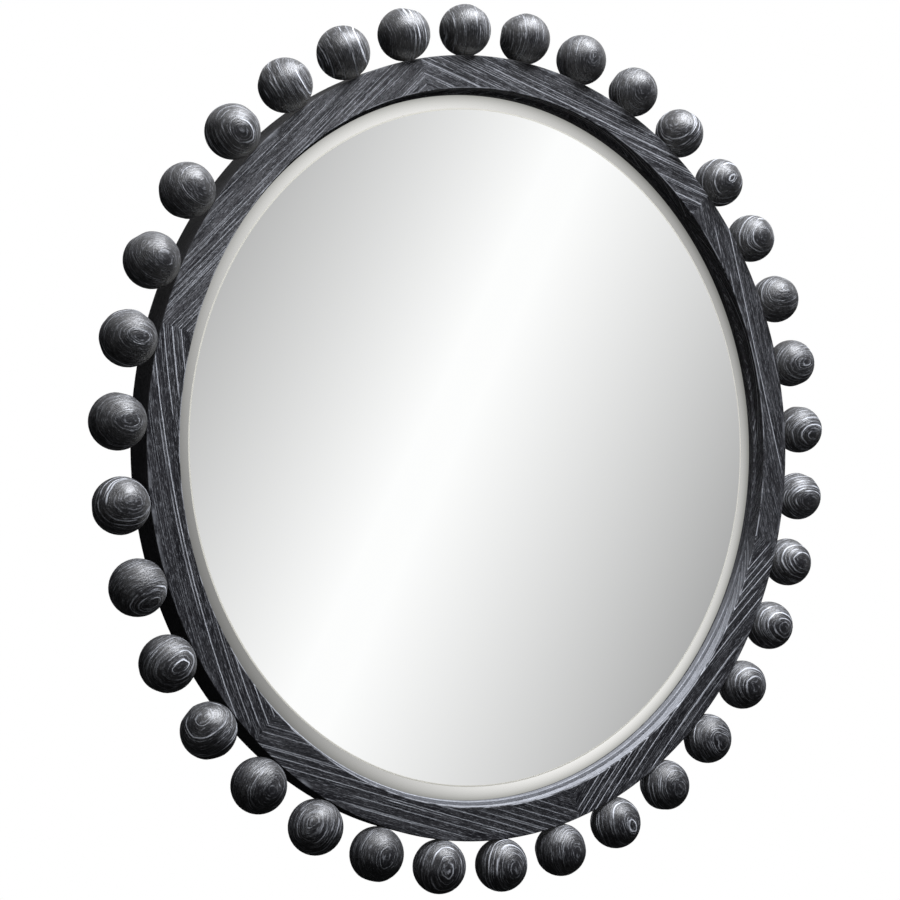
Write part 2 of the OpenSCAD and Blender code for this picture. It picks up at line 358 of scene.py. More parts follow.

# spacing, width, share: how far apart the bold lines are, how wide, and how many of them took wax
# run, drift, waver, reach, rough: how long a line runs, and how far and how soon it strays
# thin, streaks, stroke, solid: the fine lines, the strokes between them, and how unbroken all are
# wax, worn, wall_wax_and_light, relief, gloss, satin: how white and worn, wall wax and painted light,
# how deep and shiny
# lean, tilt, bow: how the growth lies in the board; bore, wall: where its wall in the opening is
PLANK_LOOK = dict(
    spacing=8.0, width=1.0, share=0.4, run=90.0, drift=2.0, waver=0.8, reach=11.0, rough=0.35,
    thin=0.3, thin_spacing=2.6, thin_width=0.6, streaks=0.38, stroke=10.0, solid=0.58, wax=0.84,
    worn=0.5, wall_wax_and_light=1.3, relief=0.0007, gloss=0.26, satin=0.40, lean=57.0, tilt=0.0, bow=0.0,
    bore=435.5, wall=(-44.6, -33.4))


def wax_and_painted_light_on_walls(finish, along, depth, radius, height, wall, look, seed):
    """Wax on the opening's walls, with painted light from above and from the mirror on the lower
    ones.
    """
    # The painted light is twice as strong at the ledge's radius.
    corner = 1.0 - finish.ease(finish.math("ABSOLUTE", radius - LEDGE_R), 0.3, 0.8) * 0.5
    start, end = look["wall"]
    begun = finish.ease(depth, start - 0.5, start + 0.4)
    inside = begun * (1.0 - finish.ease(depth, end - 0.5, end + 0.4))
    # Painted light: full on the lowest walls, which face up to the lamps, and gone towards the
    # middle.
    lit_from_above = 1.0 - finish.ease(height, *WALLS_LIT_FROM_ABOVE)
    place = (along, radius, depth)
    strokes = finish.ease(marks(finish, place, BRUSH_STROKE, 4.0, seed), 0.34, 0.66) * 0.5 + 0.5
    specks = finish.ease(marks(finish, place, SPECK, 3.0, seed), 0.34, 0.6) * 0.4 + 0.6
    return wall * inside * corner * lit_from_above * (strokes * specks) * look["wall_wax_and_light"]


def walls_and_edges(finish, along, depth, inward, seed):
    """The outer wall took no wax. The eased edges of the front took too much, in patches."""
    radius = finish.math("SQRT", along * along + inward * inward)
    shown = 1.0 - finish.ease(radius, RIM_R - 1.0, RIM_R - 0.2) * 0.9
    front = finish.ease(depth * -1.0, FRONT_H - 1.4, FRONT_H - 0.6)
    patch = finish.noise(finish.vector(along / 26, inward / 26, seed), 1.0, 4.0)
    inner_edge = 1.0 - finish.ease(finish.math("ABSOLUTE", radius - OPENING_R - 0.6), 0.3, 1.1)
    outer_edge = finish.ease(radius, RIM_R - 7.0, RIM_R - 1.5) * shown
    worn_line = inner_edge * finish.ease(patch, 0.42, 0.58) * 0.40
    smear = outer_edge * finish.ease(patch, 0.50, 0.75) * 0.30
    return shown, finish.math("MAXIMUM", worn_line, smear) * front, radius


def plank_wood(name, middle_turn, look, seed):
    """The finish of a plank whose middle lies at that turn, in degrees from +X towards +Z."""
    finish = new_finish(name)
    spot = finish.node("ShaderNodeTexCoord").outputs["Object"]
    turned = finish.node("ShaderNodeMapping", {}, {
        "Vector": spot, "Rotation": (0.0, math.radians(middle_turn + 90.0), 0.0),
        "Scale": (1000.0, 1000.0, 1000.0)})
    along, depth, inward = finish.split(turned.outputs[0])
    growth = (depth + FRONT_H) * math.tan(math.radians(look["lean"])) - inward
    growth = growth - along * look["tilt"] + along * along * look["bow"]
    shown, smeared_wax_and_light, radius = walls_and_edges(finish, along, depth, inward, seed)
    height = finish.split(spot)[2] * 1000.0
    wall = 1.0 - finish.ease(radius, look["bore"] + 0.1, look["bore"] + 0.5)
    # Wax and painted light on the walls of the opening
    wall_wax_and_light = wax_and_painted_light_on_walls(finish, along, depth, radius, height, wall, look, seed)
    smeared_wax_and_light = finish.math("MAXIMUM", smeared_wax_and_light, wall_wax_and_light)
    return waxed_wood(finish, along, growth, depth, look, seed, shown, smeared_wax_and_light, dull=wall)


def dress(node, material):
    """Gives a CAD node a finish, through its object's material slots."""
    piece = frame["nodes"][node]
    if not piece.material_slots:
        piece.data.materials.append(material)
    for slot in piece.material_slots:
        slot.material = material


# %% The front ring
FIRST_JOINT = 44.0
PLANK_TURN = 60.0

# What is each board's own. A long line has its distance from the mirror's middle, its strength
# and the places of its two ends
FRONT_BOARDS = {
    1: dict(
        spacing=4.4, share=0.4, thin=0.75, thin_spacing=2.4, streaks=0.5, wax=0.56, worn=0.85,
        lines=[
            (463, 0.5, -90, 20), (450, 0.6, -40, 115), (447, 0.5, -140, 40), (441, 0.5, -190, -60),
            (433, 0.5, 90, 200), (421, 0.6, 110, 190), (412, 0.6, 130, 215)]),
    2: dict(
        spacing=5.0, share=0.3, thin=0.8, thin_spacing=2.0, streaks=0.5, wax=0.56, worn=1.4,
        lines=[
            (460, 0.4, 60, 130), (444, 0.5, -60, 150), (439, 0.5, -110, -10), (431, 0.6, 70, 205),
            (425, 0.4, -220, -130), (418, 0.5, 120, 215)]),
    3: dict(spacing=13.0, share=0.15, bow=0.00035, lines=[
        (443.5, 0.85, -215, 215), (430, 0.7, -245, -130), (430, 0.6, 90, 225),
        (420, 0.7, -245, -150), (420, 0.8, 110, 230), (409, 0.7, -240, -170),
        (409, 0.8, 150, 240), (399, 0.6, 180, 240)]),
    4: dict(spacing=5.5, share=0.4, tilt=0.045, wax=0.64, worn=0.7, lines=[
        (461, 0.6, -120, 80), (451, 0.6, -100, 110), (442, 0.7, -225, 160), (434, 0.7, -225, 190),
        (427, 0.6, -240, -90), (427, 0.6, 80, 215), (419, 0.6, 110, 220), (411, 0.6, 130, 225),
        (403, 0.5, 140, 230), (395, 0.6, 160, 240), (411, 0.5, -240, -130),
        (403, 0.5, -240, -150)]),
    5: dict(spacing=7.0, share=0.25, bow=-0.00022, lines=[
        (454.7, 1.0, -125, 95), (435.5, 1.0, -160, 175), (424, 0.9, -200, 175),
        (415, 0.95, -230, 220), (407.5, 0.8, -235, 235), (399.5, 0.8, -240, 215),
        (391.5, 0.8, -240, 235), (465, 0.4, -60, 60)]),
    6: dict(spacing=14.0, share=0.1, tilt=-0.028, lines=[
        (441.8, 0.8, -150, 205), (471, 0.5, -35, 25), (427, 0.5, 95, 140), (418, 0.6, 150, 200)]),
}


def dress_front_ring():
    for board, own in FRONT_BOARDS.items():
        middle = FIRST_JOINT + (board - 0.5) * PLANK_TURN
        wood = plank_wood(f"front_wood_{board}", middle, {**PLANK_LOOK, **own}, 3.1 * board)
        dress(f"front_plank_{board}", wood)


dress_front_ring()
print("front planks dressed:", len(FRONT_BOARDS))

# %% The rear ring
REAR_LOOK = {**PLANK_LOOK, **dict(
    spacing=5.0, share=0.6, thin=0.5, thin_spacing=1.6, streaks=0.4, wax=0.5, lean=62.0,
    bore=435.2, wall=(-40.0, -25.2), wall_wax_and_light=0.78)}


def dress_rear_ring():
    for board in FRONT_BOARDS:
        middle = FIRST_JOINT + (board - 1) * PLANK_TURN
        wood = plank_wood(f"rear_wood_{board}", middle, REAR_LOOK, 40.0 + 2.3 * board)
        dress(f"rear_plank_{board}", wood)


dress_rear_ring()
print("rear planks dressed:", len(FRONT_BOARDS), "turned half a plank from the front ones")

# %% [markdown]
# ## The balls
#
# Each ball is turned from a block whose grain runs along its dowel, then sanded by hand, so no two
# are quite round or quite alike. A sphere from an operator would be too perfect. Here an icosphere
# is pressed in a little at a few soft flats, and a plane cuts the seat that meets the ring. The
# block's own coordinates are kept on the mesh as an attribute before the ball is moved to its
# place, so the grain turns with the ball: years' growth shows as ovals on the side that faces its
# pith.

# %% Sizes of the balls
MM = 0.001
BALL_COUNT = 35
BALL_R = 31.75 * MM
BALL_CIRCLE_R = 507.27 * MM
BALL_MIDDLE_Y = -39.5 * MM
SEAT_FROM_MIDDLE = 31.27 * MM
FRONT = Vector((0.0, -1.0, 0.0))

# How far each ball's ovals are turned from the front, in degrees round the ball's dowel
OVAL_TURN = [
    -56, -60, 4, 8, 50, 10, 3, 26, 2, -15, -14, 3, 0, -5, -2, 0, 5, 5,
    -2, -15, -10, -40, 0, -50, 3, 32, -20, 0, 0, -3, -12, 12, -35, -50, -60]


def ball_turn(number):
    """The turn of a ball's middle round the ring. The first one is just left of the top."""
    return math.radians(90.0 + (1.5 - number) * 360.0 / BALL_COUNT)


print("balls:", BALL_COUNT, "of", round(2.0 * BALL_R / MM, 2), "mm")

# %% Flats left by the sanding
FLAT_COUNT = 8
FLAT_LOW_MM = (0.35, 1.5)
NEAR_SEAT = -0.5


def soft_flats(dice):
    """A few directions in which the ball is a little low, none near its seat."""
    flats = []
    while len(flats) < FLAT_COUNT:
        way = Vector((dice.gauss(0, 1), dice.gauss(0, 1), dice.gauss(0, 1))).normalized()
        if way.x > NEAR_SEAT:
            flats.append((way, dice.uniform(*FLAT_LOW_MM) * MM))
    return flats


def sand(point, flats):
    """Presses a point in where a flat reaches it, by low in its middle and less near its rim."""
    for way, low in flats:
        over = point.dot(way) - (BALL_R - 2.0 * low)
        if over > 0.0:
            point = point - way * (over * over / (4.0 * low))
    return point


# %% A ball on the lathe
PITH_MM = (45.0, 80.0)


def sanded_ball(dice):
    """The ball in its block's own frame: X along the grain and the dowel, Z towards the ovals."""
    shape = bmesh.new()
    bmesh.ops.create_icosphere(shape, subdivisions=4, radius=BALL_R)
    flats = soft_flats(dice)
    for corner in shape.verts:
        corner.co = sand(corner.co, flats)
    everything = shape.verts[:] + shape.edges[:] + shape.faces[:]
    cut = bmesh.ops.bisect_plane(
        shape, geom=everything, dist=1e-7, plane_co=(-SEAT_FROM_MIDDLE, 0, 0), plane_no=(-1, 0, 0),
        clear_outer=True)
    rim = [part for part in cut["geom_cut"] if isinstance(part, bmesh.types.BMEdge)]
    for side in shape.faces:
        side.smooth = True
    bmesh.ops.holes_fill(shape, edges=rim, sides=0)
    return shape


def keep_block(shape, dice):
    """Keeps each point's place in the block, how far the pith is, and where the pattern starts."""
    block = shape.verts.layers.float_vector.new("block")
    timber = shape.verts.layers.float_vector.new("timber")
    own = Vector((dice.uniform(*PITH_MM), dice.uniform(0.0, 90.0), 0.0))
    for corner in shape.verts:
        corner[block] = corner.co / MM
        corner[timber] = own


# %% A ball in its place
def turned_ball(number):
    dice = random.Random(700 + number)
    shape = sanded_ball(dice)
    keep_block(shape, dice)
    turn = ball_turn(number)
    outward = Vector((math.cos(turn), 0.0, math.sin(turn)))
    round_ring = Vector((-math.sin(turn), 0.0, math.cos(turn)))
    tip = math.radians(OVAL_TURN[number - 1])
    facing = FRONT * math.cos(tip) + round_ring * math.sin(tip)
    axes = Matrix((outward, facing.cross(outward), facing)).transposed().to_4x4()
    place = Matrix.Translation(outward * BALL_CIRCLE_R + Vector((0.0, BALL_MIDDLE_Y, 0.0)))
    bmesh.ops.transform(shape, matrix=place @ axes, verts=shape.verts)
    return shape


# %% A mesh becomes a piece
def piece_from(shape, name, body, slot, material, *nodes):
    """Turns a bmesh into a piece that rides on a body and stands for some CAD nodes."""
    mesh = bpy.data.meshes.new(name)
    shape.to_mesh(mesh)
    shape.free()
    mesh.materials.append(material)
    piece = bpy.data.objects.new(name, mesh)
    bpy.context.scene.collection.objects.link(piece)
    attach(piece, body)
    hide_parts(*nodes)
    return piece


# %% The balls' wood
BALL_LOOK = dict(
    spacing=5.0, width=1.2, share=0.55, run=26.0, drift=8.0, waver=3.0, reach=24.0, rough=0.5,
    thin=0.6, thin_spacing=2.2, thin_width=0.7, streaks=0.3, stroke=8.0, solid=0.85, wax=1.0,
    worn=0.12, relief=0.00078, gloss=0.76, satin=0.42)
LEAST_SLANT = 0.03


def ball_wood():
    """Growth is the distance from the pith. Where it changes slowly, slant keeps the lines thin."""
    finish = new_finish("ball_wood")
    settings = {"attribute_type": "GEOMETRY"}
    block = finish.node("ShaderNodeAttribute", {**settings, "attribute_name": "block"})
    timber = finish.node("ShaderNodeAttribute", {**settings, "attribute_name": "timber"})
    along, across, towards = finish.split(block.outputs["Vector"])
    pith, seed, _ = finish.split(timber.outputs["Vector"])
    to_pith = pith - towards
    growth = finish.math("SQRT", to_pith * to_pith + across * across)
    facing = (across * across - to_pith * towards) / (growth * (BALL_R / MM))
    slant = finish.math("SQRT", finish.math("MAXIMUM", 1.0 - facing * facing, LEAST_SLANT))
    return waxed_wood(finish, along, growth, across, BALL_LOOK, seed, slant=slant)


def make_balls():
    wood = ball_wood()
    for number in range(1, BALL_COUNT + 1):
        piece_from(turned_ball(number), f"turned_ball_{number:02d}", "frame", "ball_wood", wood,
                   f"ball_{number:02d}")


make_balls()
low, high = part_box("ball_19")
print("lowest ball in the frame reaches", round(low.z, 5), "and ours",
      round(-BALL_CIRCLE_R - BALL_R, 5))

# %% [markdown]
# ## The glass
#
# A mirror is clear glass with silver behind it. What a viewer sees is almost all reflection, so here
# the glass is one polished metal surface that follows the real shape: flat, with a ground slope 25 mm
# wide round it. A coarse circle would show its corners along the ridge, so the glass is drawn out
# ring by ring from a circle of 360 sides. The ridge is never quite sharp. It scatters light and shows
# as a thin bright line. Outside it the glass is a little warmer, and its colour is painted darker
# towards its edge: painted shade and a painted reflection of the frame's dark walls.

# %% Rings drawn out of a circle
def draw_rings(shape, edge, start, rings):
    """Draws a circle of edges along Z through (radius, height) rings, and gives the last edges."""
    last_radius, last_height = start
    for radius, height in rings:
        drawn = bmesh.ops.extrude_edge_only(shape, edges=edge)["geom"]
        verts = [part for part in drawn if isinstance(part, bmesh.types.BMVert)]
        edge = [part for part in drawn if isinstance(part, bmesh.types.BMEdge)]
        edge = [part for part in edge if all(corner in verts for corner in part.verts)]
        bmesh.ops.translate(shape, verts=verts, vec=(0.0, 0.0, height - last_height))
        bmesh.ops.scale(shape, verts=verts, vec=(radius / last_radius, radius / last_radius, 1.0))
        last_radius, last_height = radius, height
    return edge


# %% The glass itself
RIDGE_R = 413.4
GLASS_FRONT_Y = -24.49 * MM
GLASS_SIDES = 360

# Each ring's radius and height over the flat front, in millimetres
GLASS_RINGS = [
    (413.4, -0.01), (413.7, -0.032), (414.1, -0.067), (437.6, -2.323), (438.1, -2.371),
    (438.4, -2.6), (438.4, -4.8), (438.2, -5.0)]


def spun_glass():
    shape = bmesh.new()
    first = RIDGE_R - 0.3
    circle = bmesh.ops.create_circle(shape, segments=GLASS_SIDES, radius=first * MM, cap_ends=True)
    edge = list({e for corner in circle["verts"] for e in corner.link_edges})
    rings = [(radius * MM, height * MM) for radius, height in GLASS_RINGS]
    last = draw_rings(shape, edge, (first * MM, 0.0), rings)
    for side in shape.faces:
        side.smooth = len(side.verts) == 4
    bmesh.ops.edgeloop_fill(shape, edges=last)
    bmesh.ops.recalc_face_normals(shape, faces=shape.faces)
    upright = Matrix.Rotation(math.pi / 2.0, 4, "X")
    to_front = Matrix.Translation((0.0, GLASS_FRONT_Y, 0.0)) @ upright
    bmesh.ops.transform(shape, matrix=to_front, verts=shape.verts)
    return shape


# %% Silvered glass
BEVEL_SHOWN = 17.1
SILVER = (0.965, 0.972, 0.968, 1.0)
BEVEL_SILVER = (0.985, 0.98, 0.955, 1.0)
# The colour that paints shade on the slope's outer edge
BEVEL_PAINTED_SHADE = (0.48, 0.48, 0.455, 1.0)
RIDGE_LIGHT = (1.0, 0.985, 0.90, 1.0)


def silvered_glass():
    finish = new_finish("silvered_glass")
    x, _, z = finish.split(finish.node("ShaderNodeTexCoord").outputs["Object"])
    radius = finish.math("SQRT", x * x + z * z) * 1000.0
    slope = finish.ease(radius, RIDGE_R - 0.3, RIDGE_R + 0.5)
    out = finish.math("MAXIMUM", radius - RIDGE_R, 0.0) / BEVEL_SHOWN
    # Painted shade: the slope's colour darkens towards the frame, for the frame's shade and its dark
    # reflection.
    painted_shade = out * (out * 0.72 + 0.34)
    ridge = 1.0 - finish.ease(finish.math("ABSOLUTE", radius - RIDGE_R), 0.5, 1.3)
    deeper = finish.mix(painted_shade, finish.mix(slope, SILVER, BEVEL_SILVER), BEVEL_PAINTED_SHADE)
    colour = finish.mix(ridge * 0.8, deeper, RIDGE_LIGHT)
    roughness = 0.003 + slope * 0.05 + ridge * 0.4
    return finish.coat(Base_Color=colour, Metallic=1.0, Roughness=roughness)


glass = piece_from(spun_glass(), "bevelled_glass", "frame", "silvered_glass", silvered_glass(),
                   "mirror_glass")
low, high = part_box("mirror_glass")
print("glass in the frame", [round(v, 5) for v in low], [round(v, 5) for v in high])
print("our glass faces   ", len(glass.data.polygons))

# %% [markdown]
# The picture shows none of the frame's dark wood in the glass or its bevel. Every object has
# switches for the kinds of ray that can meet it, so the wood is left out of reflections. It still
# shows directly, and still casts its shadows. The glass in turn throws no soft light back on the
# wood, whose undersides are nearly black.

# %% No wood in the mirror
def keep_out_of_reflections():
    starts = ("front_", "rear_", "ball_")
    wooden = [piece for name, piece in frame["nodes"].items() if name.startswith(starts)]
    wooden += [piece for piece in bpy.data.objects if piece.name.startswith("turned_ball_")]
    for piece in wooden:
        piece.visible_glossy = False
    return len(wooden)


print("kept out of reflections:", keep_out_of_reflections())
glass.visible_diffuse = False

# %% [markdown]
# ## The back
#
# Behind the glass sits a brown fibreboard panel, held by twelve countersunk screws, and the frame
# hangs from two steel D-rings. Pressed fibreboard is smooth and slightly mottled with darker
# fibres. Zinc plate is a bright grey metal with faint cloudy patches. Each gets a finish from the
# same two classes.

# %% Fibreboard, foam and rubber
def mottled(name, light, dark, scale, rough, grain_depth):
    """A plain material with a fine mottle: two colours, and small bumps of that depth in metres."""
    finish = new_finish(name)
    spot = finish.node("ShaderNodeTexCoord").outputs["Object"]
    large = finish.noise(spot, scale, 4.0)
    small = finish.noise(spot, scale * 9.0, 3.0)
    mask = finish.ease(large * 0.6 + small * 0.4, 0.34, 0.66)
    return finish.coat(
        Base_Color=finish.mix(mask, (*dark, 1), (*light, 1)), Roughness=rough + (small - 0.5) * 0.2,
        Specular_IOR_Level=0.3, Normal=finish.bump(small, grain_depth, 0.5))


# The material, its light and dark colour, the mottle's scale, the roughness and the grain's depth
MOTTLED = {
    "backing_board": (
        "fibreboard", (0.27, 0.16, 0.085), (0.19, 0.108, 0.055), 150.0, 0.62, 0.0002),
    "glass_tape": (
        "foam_tape", (0.72, 0.72, 0.70), (0.60, 0.60, 0.58), 300.0, 0.9, 0.0003),
    "wall_bumpers": (
        "bumper_rubber", (0.035, 0.034, 0.033), (0.02, 0.02, 0.02), 240.0, 0.6, 0.0001),
}
for node, look in MOTTLED.items():
    dress(node, mottled(*look))
    print(node, "dressed in", look[0])

# %% Dowels and pins
BEECH_DARK = (0.52, 0.36, 0.21, 1.0)
BEECH_LIGHT = (0.66, 0.49, 0.31, 1.0)


def bare_wood():
    finish = new_finish("dowel_wood")
    spot = finish.node("ShaderNodeTexCoord").outputs["Object"]
    grain = finish.noise(spot, 320.0, 3.0)
    colour = finish.mix(finish.ease(grain, 0.35, 0.7), BEECH_DARK, BEECH_LIGHT)
    return finish.coat(Base_Color=colour, Roughness=0.55 + (grain - 0.5) * 0.2)


beech = bare_wood()
for hidden in ("ball_dowels", "front_joint_pins", "rear_joint_pins"):
    dress(hidden, beech)
    print(hidden, "dressed in", beech.name)

# %% Zinc-plated steel
ZINC_DARK = (0.50, 0.51, 0.53, 1.0)
ZINC_LIGHT = (0.66, 0.67, 0.68, 1.0)


def zinc_steel():
    finish = new_finish("zinc_steel")
    spot = finish.node("ShaderNodeTexCoord").outputs["Object"]
    cloud = finish.noise(spot, 130.0, 3.0)
    spangle = finish.noise(spot, 900.0, 2.0)
    colour = finish.mix(finish.ease(cloud, 0.35, 0.65), ZINC_DARK, ZINC_LIGHT)
    roughness = 0.30 + (cloud - 0.5) * 0.2 + (spangle - 0.5) * 0.12
    return finish.coat(Base_Color=colour, Metallic=0.6, Roughness=roughness,
                       Normal=finish.bump(spangle, 0.00005, 0.4))


zinc = zinc_steel()
for metal in ("hanger_strap_left", "hanger_strap_right", "hanger_ring_left", "hanger_ring_right"):
    dress(metal, zinc)
    print(metal, "dressed in", zinc.name)

# %% [markdown]
# ## The screws
#
# A screw seen from behind is known by the cross sunk in its head. The head starts as that cross:
# its outline is filled, bridged to a circle round it and pressed in with a taper, and then the
# circle is drawn out, ring by ring, into the head, the shank and the point. A list of rings is
# enough to tell a countersunk head from a round-shouldered one.

# %% The outline of the cross
def cross_outline(shape, reach, half_width):
    """Twelve corners of a plus sign, and the face inside them."""
    arm = [(reach, -half_width), (reach, half_width), (half_width, half_width)]
    corners = []
    for quarter in range(4):
        spin = Matrix.Rotation(quarter * math.pi / 2.0, 2)
        corners += [shape.verts.new((*(spin @ Vector(corner)), 0.0)) for corner in arm]
    return shape.faces.new(corners)


# %% A screw from its rings
def cross_screw(flat_r, rings, reach, half_width, deep):
    """All in millimetres. The flat lies round the cross, and the rings go on down to the point."""
    shape = bmesh.new()
    cross = cross_outline(shape, reach * MM, half_width * MM)
    circle = bmesh.ops.create_circle(shape, segments=24, radius=flat_r * MM, cap_ends=False)
    edge = list({e for corner in circle["verts"] for e in corner.link_edges})
    bmesh.ops.bridge_loops(shape, edges=list(cross.edges) + edge)
    pressed = bmesh.ops.extrude_discrete_faces(shape, faces=[cross])["faces"][0]
    bmesh.ops.translate(shape, verts=pressed.verts, vec=(0.0, 0.0, -deep * MM))
    bmesh.ops.scale(shape, verts=pressed.verts, vec=(0.35, 0.35, 1.0))
    rings = [(radius * MM, height * MM) for radius, height in rings]
    last = draw_rings(shape, edge, (flat_r * MM, 0.0), rings)
    bmesh.ops.edgeloop_fill(shape, edges=last)
    bmesh.ops.recalc_face_normals(shape, faces=shape.faces)
    return shape


# %% Screws in their places
def set_screws(screw, places, name, node):
    """Puts a screw at each (x, y, z), its head towards the wall and turned its own way."""
    blank = bpy.data.meshes.new("screw_blank")
    screw.to_mesh(blank)
    screw.free()
    dice = random.Random(31)
    row = bmesh.new()
    for place in places:
        before = len(row.verts)
        row.from_mesh(blank)
        row.verts.ensure_lookup_table()
        own_turn = Matrix.Rotation(dice.uniform(0.0, math.pi), 4, "Z")
        to_wall = Matrix.Rotation(-math.pi / 2.0, 4, "X")
        bmesh.ops.transform(row, matrix=Matrix.Translation(place) @ to_wall @ own_turn,
                            verts=row.verts[before:])
    bpy.data.meshes.remove(blank)
    return piece_from(row, name, "frame", "zinc_steel", zinc, node)


# Radius and height of each ring below the head's flat, in millimetres
SUNK_RINGS = [(3.5, -0.12), (1.75, -1.75), (1.75, -16.0), (0.3, -19.5)]
BOARD_BACK_Y = -8.49 * MM
BOARD_SCREW_R = 446.0 * MM
BOARD_SCREWS = 12
FIRST_BOARD_SCREW = 29.0


def board_screw_place(number):
    turn = math.radians(FIRST_BOARD_SCREW + 360.0 / BOARD_SCREWS * number)
    return Vector((BOARD_SCREW_R * math.cos(turn), BOARD_BACK_Y, BOARD_SCREW_R * math.sin(turn)))


sunk = cross_screw(3.3, SUNK_RINGS, reach=1.9, half_width=0.38, deep=1.5)
board_places = [board_screw_place(number) for number in range(BOARD_SCREWS)]
set_screws(sunk, board_places, "back_panel_screws", "backing_screws")

# %% Round-shouldered screws for the straps
PAN_RINGS = [
    (2.25, -0.12), (2.72, -0.38), (2.95, -0.75), (3.0, -1.1), (3.0, -1.8), (1.75, -1.8),
    (1.75, -13.5), (0.3, -17.0)]
PAN_TOP_Y = -2.5 * MM
PIVOT_X = 430.21
PIVOT_Z = 188.43
BELOW_PIVOT = (16.25, 26.75)
pan = cross_screw(1.55, PAN_RINGS, reach=1.35, half_width=0.34, deep=1.1)
pan_places = [Vector((side * PIVOT_X * MM, PAN_TOP_Y, (PIVOT_Z - down) * MM))
              for side in (-1, 1) for down in BELOW_PIVOT]
set_screws(pan, pan_places, "strap_screws", "hanger_screws")
for name in ("backing_screws", "hanger_screws"):
    low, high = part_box(name)
    print(name, [round(v, 5) for v in low], [round(v, 5) for v in high])

# %% [markdown]
# ## The studio
#
# The floor is plain and pale, well below a mirror that hangs at head height. One large soft lamp
# stands above, in front and a little to the right, so that the balls' undersides stay dark, and a
# weak one fills from the upper left. White behind the object comes from the world, which is white
# only to the camera and in reflections. The lamps leave the glass out, because it would show them
# as hard white squares. A lamp behind lights the back, and is left out of gloss so that it draws no
# bright rim round the balls.

# %% Rays that see the world white
def light_rays(finish):
    """1 for rays from the camera, off gloss or through glass, and 0 for the rest."""
    path = finish.node("ShaderNodeLightPath")
    kinds = ("Camera", "Glossy", "Transmission")
    seen = [Num(finish, path.outputs[f"Is {kind} Ray"]) for kind in kinds]
    return finish.math("MAXIMUM", seen[0], finish.math("MAXIMUM", seen[1], seen[2]))


# %% The world
DIM_SKY = (0.92, 0.94, 1.0, 1.0)
SKY_STRENGTH = 0.07
PURE_WHITE = (1.0, 1.0, 1.0, 1.0)


def make_world():
    world = bpy.data.worlds.new("studio")
    bpy.context.scene.world = world
    finish = Finish(world)
    soft = finish.node("ShaderNodeBackground", {}, {"Color": DIM_SKY, "Strength": SKY_STRENGTH})
    white = finish.node("ShaderNodeBackground", {}, {"Color": PURE_WHITE, "Strength": 1.0})
    both = finish.node("ShaderNodeMixShader", {}, {
        0: light_rays(finish), 1: soft.outputs[0], 2: white.outputs[0]})
    finish.node("ShaderNodeOutputWorld", {}, {"Surface": both.outputs[0]})


make_world()
print("world:", bpy.context.scene.world.name)

# %% The floor
def flat_sheet(name, material, low, high):
    """A level or upright sheet between two opposite corners, which share one coordinate."""
    low, high = Vector(low), Vector(high)
    thin = next(axis for axis in range(3) if high[axis] == low[axis])
    shape = bmesh.new()
    bmesh.ops.create_grid(shape, x_segments=2, y_segments=2, size=0.5)
    if thin != 2:
        about = "Y" if thin == 0 else "X"
        stand = Matrix.Rotation(math.pi / 2.0, 3, about)
        bmesh.ops.rotate(shape, matrix=stand, verts=shape.verts)
    span = Vector(tuple(v or 1.0 for v in (high - low)))
    bmesh.ops.scale(shape, vec=span, verts=shape.verts)
    bmesh.ops.translate(shape, vec=(low + high) / 2.0, verts=shape.verts)
    mesh = bpy.data.meshes.new(name)
    shape.to_mesh(mesh)
    shape.free()
    mesh.materials.append(material)
    sheet = bpy.data.objects.new(name, mesh)
    bpy.context.scene.collection.objects.link(sheet)
    return sheet


FLOOR_DARK = (0.60, 0.60, 0.59, 1.0)
FLOOR_LIGHT = (0.65, 0.65, 0.64, 1.0)
BLACK = (0.0, 0.0, 0.0, 1.0)
FLOOR_GLOW = 0.4


def floor_paint():
    finish = new_finish("floor_paint")
    spot = finish.node("ShaderNodeTexCoord").outputs["Object"]
    speck = finish.noise(spot, 40.0, 4.0)
    colour = finish.mix(speck, FLOOR_DARK, FLOOR_LIGHT)
    glow = finish.mix(light_rays(finish), BLACK, PURE_WHITE)
    return finish.coat(
        Base_Color=colour, Roughness=0.85, Emission_Color=glow, Emission_Strength=FLOOR_GLOW)


floor = flat_sheet("floor", floor_paint(), (-2.0, -2.0, -1.5), (2.0, 2.0, -1.5))
print("floor:", [round(side, 2) for side in floor.dimensions], "m")

# %% Lamps
all_but_glass = bpy.data.collections.new("all_but_glass")
all_but_glass.objects.link(glass)
all_but_glass.collection_objects[0].light_linking.link_state = "EXCLUDE"


def soft_lamp(name, place, size, watts, colour=(1.0, 1.0, 1.0), in_gloss=True):
    lamp = bpy.data.lights.new(name, "AREA")
    lamp.shape = "RECTANGLE"
    lamp.size, lamp.size_y = size
    lamp.energy = watts
    lamp.color = colour
    holder = bpy.data.objects.new(name, lamp)
    holder.location = place
    holder.rotation_euler = (-Vector(place)).to_track_quat("-Z", "Y").to_euler()
    holder.visible_camera = False
    holder.visible_glossy = in_gloss
    holder.light_linking.receiver_collection = all_but_glass
    bpy.context.scene.collection.objects.link(holder)
    print(name, watts, "W at", place)


soft_lamp("key_lamp", (0.65, -1.35, 3.0), (2.1, 1.7), 300.0, (0.93, 0.95, 1.0))
soft_lamp("fill_lamp", (-0.95, -1.75, 2.75), (1.6, 1.6), 44.0)
soft_lamp("back_lamp", (0.7, 3.2, 1.3), (1.6, 1.6), 120.0, in_gloss=False)

# %% [markdown]
# Dark wood takes its shape from what it doesn't reflect. In a white room its undersides would shine
# grey, so a photographer stands black flags below and beside it. Here they are sheets that the
# camera can't see and that cast no shadow: they only take light away from gloss and from soft
# light. The mirror has to show a pale room from every side, so its sharp rays pass through the
# cloth.

# %% Black flags
CLOTH_DARK = (0.010, 0.010, 0.010, 1.0)
CLOTH_LIGHT = (0.022, 0.022, 0.022, 1.0)


